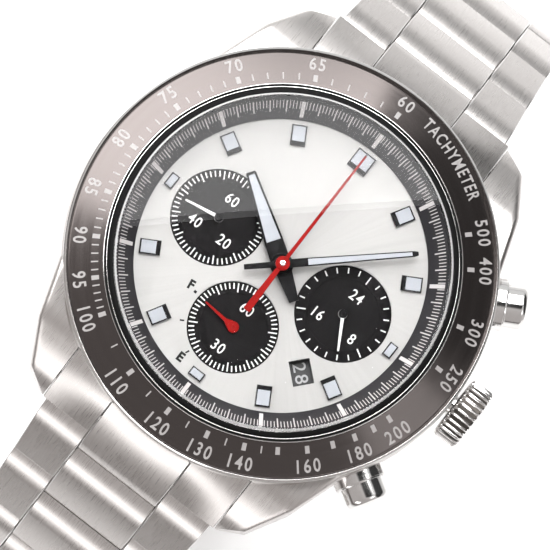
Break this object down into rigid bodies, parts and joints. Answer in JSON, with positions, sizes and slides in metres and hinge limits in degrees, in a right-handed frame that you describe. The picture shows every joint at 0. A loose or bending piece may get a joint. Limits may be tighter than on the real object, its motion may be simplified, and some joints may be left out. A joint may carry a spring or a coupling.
{
  "type": "chronograph wristwatch",
  "caption": "Steel chronograph wristwatch with tachymeter bezel, three sub-dials, crown, pushers and a linked bracelet closed by a folding clasp.",
  "frame": {"origin": "centre of the case back's flat outer face", "axes": "+Z is the dial's outward normal, +Y points to 12 o'clock, +X to 3 o'clock and the crown"},
  "size_m": [0.0444, 0.0766, 0.0572],
  "materials": {
    "brushed_steel": "satin brushed",
    "polished_steel": "polished",
    "bare_steel": "machined",
    "bezel_print": "satin dark brown-grey with white print",
    "crystal_glass": "clear, anti-reflection coated",
    "gasket_black": "matte",
    "chapter_black": "matte black with white print",
    "dial_silver": "sunray brushed silver",
    "marker_white": "luminous white in a dark frame",
    "hand_black": "gloss black",
    "hand_red": "gloss red",
    "hand_white": "gloss white",
    "date_black": "matte black with white numbers",
    "solar_film": "dark gloss",
    "movement_plastic": "moulded",
    "plated_brass": "plated",
    "circuit_green": "solder mask",
    "cell_steel": "drawn",
    "coil_copper": "enamelled copper wire"
  },
  "bodies": {
    "case": {"case_body": "brushed_steel", "bezel_ring": "polished_steel", "bezel_insert": "bezel_print", "crystal": "crystal_glass", "crystal_gasket": "gasket_black", "chapter_ring": "chapter_black", "dial": "dial_silver", "hour_markers": "marker_white", "solar_cell": "solar_film", "movement_plate": "plated_brass", "movement_holder": "movement_plastic", "circuit_board": "circuit_green", "power_cell": "cell_steel", "motor_coils": "coil_copper", "motor_stators": "bare_steel", "train_bridge": "plated_brass", "case_back": "polished_steel", "case_back_gasket": "gasket_black", "side_tubes": "polished_steel", "pusher_springs": "bare_steel", "end_link_12": "brushed_steel", "end_link_6": "brushed_steel", "lug_spring_bars": "bare_steel"},
    "minute_train": {"minute_hand": "hand_black", "cannon_pinion": "plated_brass"},
    "minute_wheel": {"minute_wheel": "plated_brass"},
    "hour_train": {"hour_hand": "hand_black", "hour_wheel": "plated_brass"},
    "day_train": {"hand_24h": "hand_white", "wheel_24h": "plated_brass"},
    "chrono_seconds": {"chrono_seconds_hand": "hand_red", "chrono_seconds_wheel": "plated_brass"},
    "chrono_minutes": {"chrono_minutes_hand": "hand_red", "chrono_minutes_wheel": "plated_brass"},
    "small_seconds": {"small_seconds_hand": "hand_white", "small_seconds_wheel": "plated_brass"},
    "date_disc": {"date_disc": "date_black"},
    "stem": {"winding_stem": "bare_steel"},
    "crown": {"crown": "polished_steel"},
    "pusher_start": {"pusher_start": "polished_steel"},
    "pusher_reset": {"pusher_reset": "polished_steel"},
    "link_12_1": {"link_12_1": "brushed_steel"},
    "link_12_2": {"link_12_2": "brushed_steel"},
    "link_12_3": {"link_12_3": "brushed_steel"},
    "link_12_4": {"link_12_4": "brushed_steel"},
    "link_12_5": {"link_12_5": "brushed_steel"},
    "link_12_6": {"link_12_6": "brushed_steel"},
    "link_12_7": {"link_12_7": "brushed_steel"},
    "link_6_1": {"link_6_1": "brushed_steel"},
    "link_6_2": {"link_6_2": "brushed_steel"},
    "link_6_3": {"link_6_3": "brushed_steel"},
    "link_6_4": {"link_6_4": "brushed_steel"},
    "link_6_5": {"link_6_5": "brushed_steel"},
    "link_6_6": {"link_6_6": "brushed_steel"},
    "link_6_7": {"link_6_7": "brushed_steel"},
    "inner_blade": {"clasp_inner_blade": "brushed_steel"},
    "middle_blade": {"clasp_middle_blade": "brushed_steel"},
    "clasp_cover": {"clasp_cover": "brushed_steel"},
    "button_left": {"clasp_button_left": "polished_steel"},
    "button_right": {"clasp_button_right": "polished_steel"}
  },
  "joints": [
    {"name": "minute_hand_turn", "type": "hinge", "parent": "case", "child": "minute_train", "pos_m": [0, 0, 0.008], "axis": [0, 0, -1], "continuous": true},
    {"name": "minute_wheel_turn", "type": "hinge", "parent": "case", "child": "minute_wheel", "pos_m": [0.00231, 0.00191, 0.008], "axis": [0, 0, -1], "continuous": true},
    {"name": "hour_hand_turn", "type": "hinge", "parent": "case", "child": "hour_train", "pos_m": [0, 0, 0.008], "axis": [0, 0, -1], "continuous": true},
    {"name": "hand_24h_turn", "type": "hinge", "parent": "case", "child": "day_train", "pos_m": [0.00736, 0, 0.008], "axis": [0, 0, -1], "continuous": true},
    {"name": "chrono_seconds_turn", "type": "hinge", "parent": "case", "child": "chrono_seconds", "pos_m": [0, 0, 0.008], "axis": [0, 0, -1], "continuous": true},
    {"name": "chrono_minutes_turn", "type": "hinge", "parent": "case", "child": "chrono_minutes", "pos_m": [0, -0.00736, 0.008], "axis": [0, 0, -1], "continuous": true},
    {"name": "small_seconds_turn", "type": "hinge", "parent": "case", "child": "small_seconds", "pos_m": [-0.00736, 0, 0.008], "axis": [0, 0, -1], "continuous": true},
    {"name": "date_disc_turn", "type": "hinge", "parent": "case", "child": "date_disc", "pos_m": [0, 0, 0.007], "axis": [0, 0, -1], "continuous": true},
    {"name": "crown_pull", "type": "slide", "parent": "case", "child": "stem", "axis": [1, 0, 0], "range_m": [0, 0.001]},
    {"name": "crown_turn", "type": "hinge", "parent": "stem", "child": "crown", "pos_m": [0.022, 0, 0.005], "axis": [1, 0, 0], "continuous": true},
    {"name": "pusher_start_press", "type": "slide", "parent": "case", "child": "pusher_start", "axis": [-0.8746, -0.4848, 0], "range_m": [0, 0.001], "stiffness_N_per_m": 1200, "springref_m": -0.0006},
    {"name": "pusher_reset_press", "type": "slide", "parent": "case", "child": "pusher_reset", "axis": [-0.8572, 0.515, 0], "range_m": [0, 0.001], "stiffness_N_per_m": 1200, "springref_m": -0.0006},
    {"name": "link_12_1_hinge", "type": "hinge", "parent": "case", "child": "link_12_1", "pos_m": [0, 0.023, 0.0019], "axis": [1, 0, 0], "range_deg": [0, 55]},
    {"name": "link_12_2_hinge", "type": "hinge", "parent": "link_12_1", "child": "link_12_2", "pos_m": [0, 0.0277, -0.00411], "axis": [1, 0, 0], "range_deg": [0, 4]},
    {"name": "link_12_3_hinge", "type": "hinge", "parent": "link_12_2", "child": "link_12_3", "pos_m": [0, 0.03229, -0.01021], "axis": [1, 0, 0], "range_deg": [0, 11]},
    {"name": "link_12_4_hinge", "type": "hinge", "parent": "link_12_3", "child": "link_12_4", "pos_m": [0, 0.03599, -0.01688], "axis": [1, 0, 0], "range_deg": [0, 28]},
    {"name": "link_12_5_hinge", "type": "hinge", "parent": "link_12_4", "child": "link_12_5", "pos_m": [0, 0.03652, -0.02449], "axis": [1, 0, 0], "range_deg": [0, 30]},
    {"name": "link_12_6_hinge", "type": "hinge", "parent": "link_12_5", "child": "link_12_6", "pos_m": [0, 0.03354, -0.03151], "axis": [1, 0, 0], "range_deg": [0, 30]},
    {"name": "link_12_7_hinge", "type": "hinge", "parent": "link_12_6", "child": "link_12_7", "pos_m": [0, 0.02769, -0.03642], "axis": [1, 0, 0], "range_deg": [0, 26]},
    {"name": "link_6_1_hinge", "type": "hinge", "parent": "case", "child": "link_6_1", "pos_m": [0, -0.023, 0.0019], "axis": [-1, 0, 0], "range_deg": [0, 55]},
    {"name": "link_6_2_hinge", "type": "hinge", "parent": "link_6_1", "child": "link_6_2", "pos_m": [0, -0.0277, -0.00411], "axis": [-1, 0, 0], "range_deg": [0, 4]},
    {"name": "link_6_3_hinge", "type": "hinge", "parent": "link_6_2", "child": "link_6_3", "pos_m": [0, -0.03229, -0.01021], "axis": [-1, 0, 0], "range_deg": [0, 11]},
    {"name": "link_6_4_hinge", "type": "hinge", "parent": "link_6_3", "child": "link_6_4", "pos_m": [0, -0.03599, -0.01688], "axis": [-1, 0, 0], "range_deg": [0, 28]},
    {"name": "link_6_5_hinge", "type": "hinge", "parent": "link_6_4", "child": "link_6_5", "pos_m": [0, -0.03652, -0.02449], "axis": [-1, 0, 0], "range_deg": [0, 30]},
    {"name": "link_6_6_hinge", "type": "hinge", "parent": "link_6_5", "child": "link_6_6", "pos_m": [0, -0.03354, -0.03151], "axis": [-1, 0, 0], "range_deg": [0, 30]},
    {"name": "link_6_7_hinge", "type": "hinge", "parent": "link_6_6", "child": "link_6_7", "pos_m": [0, -0.02769, -0.03642], "axis": [-1, 0, 0], "range_deg": [0, 26]},
    {"name": "inner_blade_hinge", "type": "hinge", "parent": "link_6_7", "child": "inner_blade", "pos_m": [0, -0.0204, -0.03865], "axis": [-1, 0, 0], "range_deg": [0, 20]},
    {"name": "clasp_fold", "type": "hinge", "parent": "inner_blade", "child": "middle_blade", "pos_m": [0, 0.01722, -0.03998], "axis": [1, 0, 0], "range_deg": [0, 110]},
    {"name": "clasp_cover_open", "type": "hinge", "parent": "middle_blade", "child": "clasp_cover", "pos_m": [0, -0.01818, -0.04074], "axis": [-1, 0, 0], "range_deg": [0, 140]},
    {"name": "button_right_press", "type": "slide", "parent": "clasp_cover", "child": "button_right", "axis": [-1, 0, 0], "range_m": [0, 0.0005], "stiffness_N_per_m": 800, "springref_m": -0.0005},
    {"name": "button_left_press", "type": "slide", "parent": "clasp_cover", "child": "button_left", "axis": [1, 0, 0], "range_m": [0, 0.0005], "stiffness_N_per_m": 800, "springref_m": -0.0005}
  ],
  "couplings": [
    {"joint": "minute_wheel_turn", "follows": "minute_hand_turn", "ratio": -0.33333},
    {"joint": "hour_hand_turn", "follows": "minute_hand_turn", "ratio": 0.083333},
    {"joint": "hand_24h_turn", "follows": "minute_hand_turn", "ratio": 0.041667}
  ]
}
